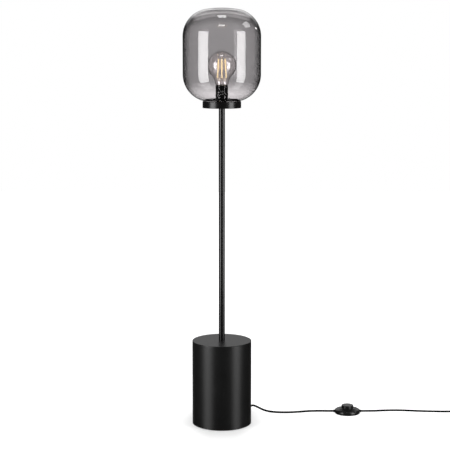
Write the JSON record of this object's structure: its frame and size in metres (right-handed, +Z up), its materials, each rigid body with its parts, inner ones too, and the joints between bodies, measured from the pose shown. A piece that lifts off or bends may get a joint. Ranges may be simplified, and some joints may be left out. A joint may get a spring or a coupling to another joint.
{
  "type": "floor lamp",
  "caption": "Floor lamp with a drum base, a slim pole and a smoked glass globe shade over a clear filament bulb, on a lead with a foot switch and plug",
  "frame": {"origin": "centre of the drum base on the floor", "axes": "+Z up along the pole; the front of the lamp faces -Y; +X is to the right seen from the front, the way the lead runs"},
  "size_m": [1.0503, 0.2905, 1.4],
  "materials": {
    "black_coat": "satin powder coat",
    "plate_steel": "zinc plated",
    "cast_weight": "raw casting",
    "black_rubber": "matt",
    "smoke_glass": "smoked, polished",
    "clear_glass": "clear, polished",
    "holder_black": "satin",
    "core_ceramic": "unglazed",
    "nickel": "nickel plated",
    "brass": "bright",
    "cap_black": "black glass",
    "filament_phosphor": "phosphor coated",
    "block_plastic": "natural nylon",
    "lead_black": "smooth soft sheath",
    "switch_black": "semi-gloss"
  },
  "bodies": {
    "root": {"ballast_bolts": "plate_steel", "ballast_weight": "cast_weight", "base_drum": "black_coat", "base_plate": "plate_steel", "coil_tie": "lead_black", "contact_tongue": "brass", "cord_clamp": "block_plastic", "cord_relief": "lead_black", "cup_nut": "plate_steel", "foot_nipple": "plate_steel", "foot_nut": "plate_steel", "foot_ring": "black_rubber", "foot_washer": "plate_steel", "head_nipple": "plate_steel", "holder_base": "holder_black", "holder_core": "core_ceramic", "holder_ring": "holder_black", "holder_sleeve": "holder_black", "inner_cable": "block_plastic", "inner_lead": "lead_black", "lamp_lead": "lead_black", "lead_coil": "lead_black", "plate_screws": "plate_steel", "plug_body": "switch_black", "plug_pins": "nickel", "plug_tail": "lead_black", "pole": "black_coat", "pole_foot_plug": "plate_steel", "pole_head_plug": "plate_steel", "screw_shell": "nickel", "shade_cup": "black_coat", "shade_gasket": "black_rubber", "switch_base": "switch_black", "switch_bushings": "switch_black", "switch_cover": "switch_black", "switch_lead": "lead_black", "switch_mechanism": "block_plastic", "switch_pads": "black_rubber", "switch_screws": "plate_steel", "switch_spring": "plate_steel", "terminal_block": "block_plastic"},
    "shade": {"glass_shade": "smoke_glass"},
    "bulb": {"bulb_glass": "clear_glass", "bulb_cap": "nickel", "cap_insulator": "cap_black", "cap_contact": "brass", "bulb_stem": "clear_glass", "bulb_filaments": "filament_phosphor", "filament_cage": "plate_steel", "filament_foot": "plate_steel"},
    "foot_button": {"switch_button": "switch_black", "switch_plunger": "block_plastic"}
  },
  "joints": [
    {"name": "shade_lift", "type": "slide", "parent": "root", "child": "shade", "axis": [0, 0, 1], "range_m": [0, 0.185]},
    {"name": "bulb_release", "type": "slide", "parent": "root", "child": "bulb", "axis": [0, 0, 1], "range_m": [0, 0.03]},
    {"name": "foot_press", "type": "slide", "parent": "root", "child": "foot_button", "axis": [0, 0, -1], "range_m": [0, 0.0035], "stiffness_N_per_m": 500, "springref_m": -0.002, "deforming": ["switch_spring"]}
  ]
}
